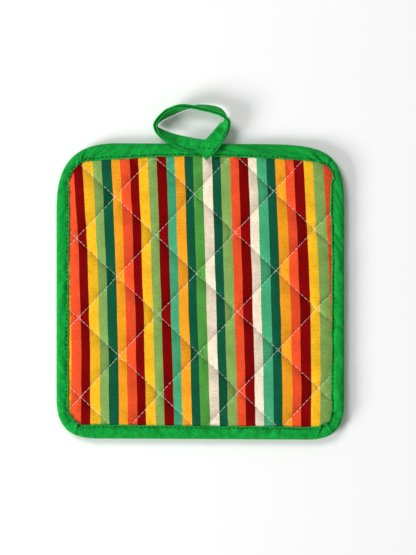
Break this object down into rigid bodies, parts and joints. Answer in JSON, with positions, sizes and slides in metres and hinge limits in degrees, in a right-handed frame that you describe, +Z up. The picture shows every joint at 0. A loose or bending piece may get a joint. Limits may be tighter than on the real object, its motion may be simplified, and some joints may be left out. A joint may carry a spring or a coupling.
{
  "type": "pot holder",
  "caption": "Square quilted pot holder: striped cotton covers quilted in diamonds over wadding, bound with green tape, with a hanging loop sewn to the top edge.",
  "frame": {"origin": "middle of the whole outline, hanging loop included, on the table under the back cover", "axes": "+Z up from the table, out of the striped front; +Y across the pad towards the hanging loop; +X to the right seen from the front"},
  "size_m": [0.2, 0.2336, 0.0126],
  "materials": {
    "striped_cotton": "plain-weave printed cotton, matt, in narrow upright stripes of red, coral, orange, yellow, greens and cream",
    "green_tape": "matt woven cotton tape",
    "wadding": "soft lofted fibre",
    "white_thread": "twisted sewing thread, slight sheen",
    "green_thread": "twisted sewing thread, slight sheen"
  },
  "bodies": {
    "lower_half": {"front_cover_lower": "striped_cotton", "back_cover_lower": "striped_cotton", "wadding_lower": "wadding", "binding_lower": "green_tape", "front_quilting_thread_lower": "white_thread", "back_quilting_thread_lower": "white_thread", "front_binding_seam_lower": "green_thread", "back_binding_seam_lower": "green_thread"},
    "upper_half": {"front_cover_upper": "striped_cotton", "back_cover_upper": "striped_cotton", "wadding_upper": "wadding", "binding_upper": "green_tape", "front_quilting_thread_upper": "white_thread", "back_quilting_thread_upper": "white_thread", "front_binding_seam_upper": "green_thread", "back_binding_seam_upper": "green_thread", "loop_start": "green_tape", "loop_end_tab": "green_tape", "loop_tack_seam": "green_thread"},
    "loop": {"hanging_loop": "green_tape", "loop_edge_seam": "green_thread"}
  },
  "joints": [
    {"name": "pad_fold", "type": "hinge", "parent": "lower_half", "child": "upper_half", "pos_m": [0, -0.01377, 0.0082], "axis": [1, 0, 0], "range_deg": [0, 160], "stiffness_Nm_per_rad": 0.02},
    {"name": "loop_hinge", "type": "hinge", "parent": "upper_half", "child": "loop", "pos_m": [0, 0.08923, 0.0123], "axis": [1, 0, 0], "range_deg": [-12, 150], "stiffness_Nm_per_rad": 0.004}
  ]
}
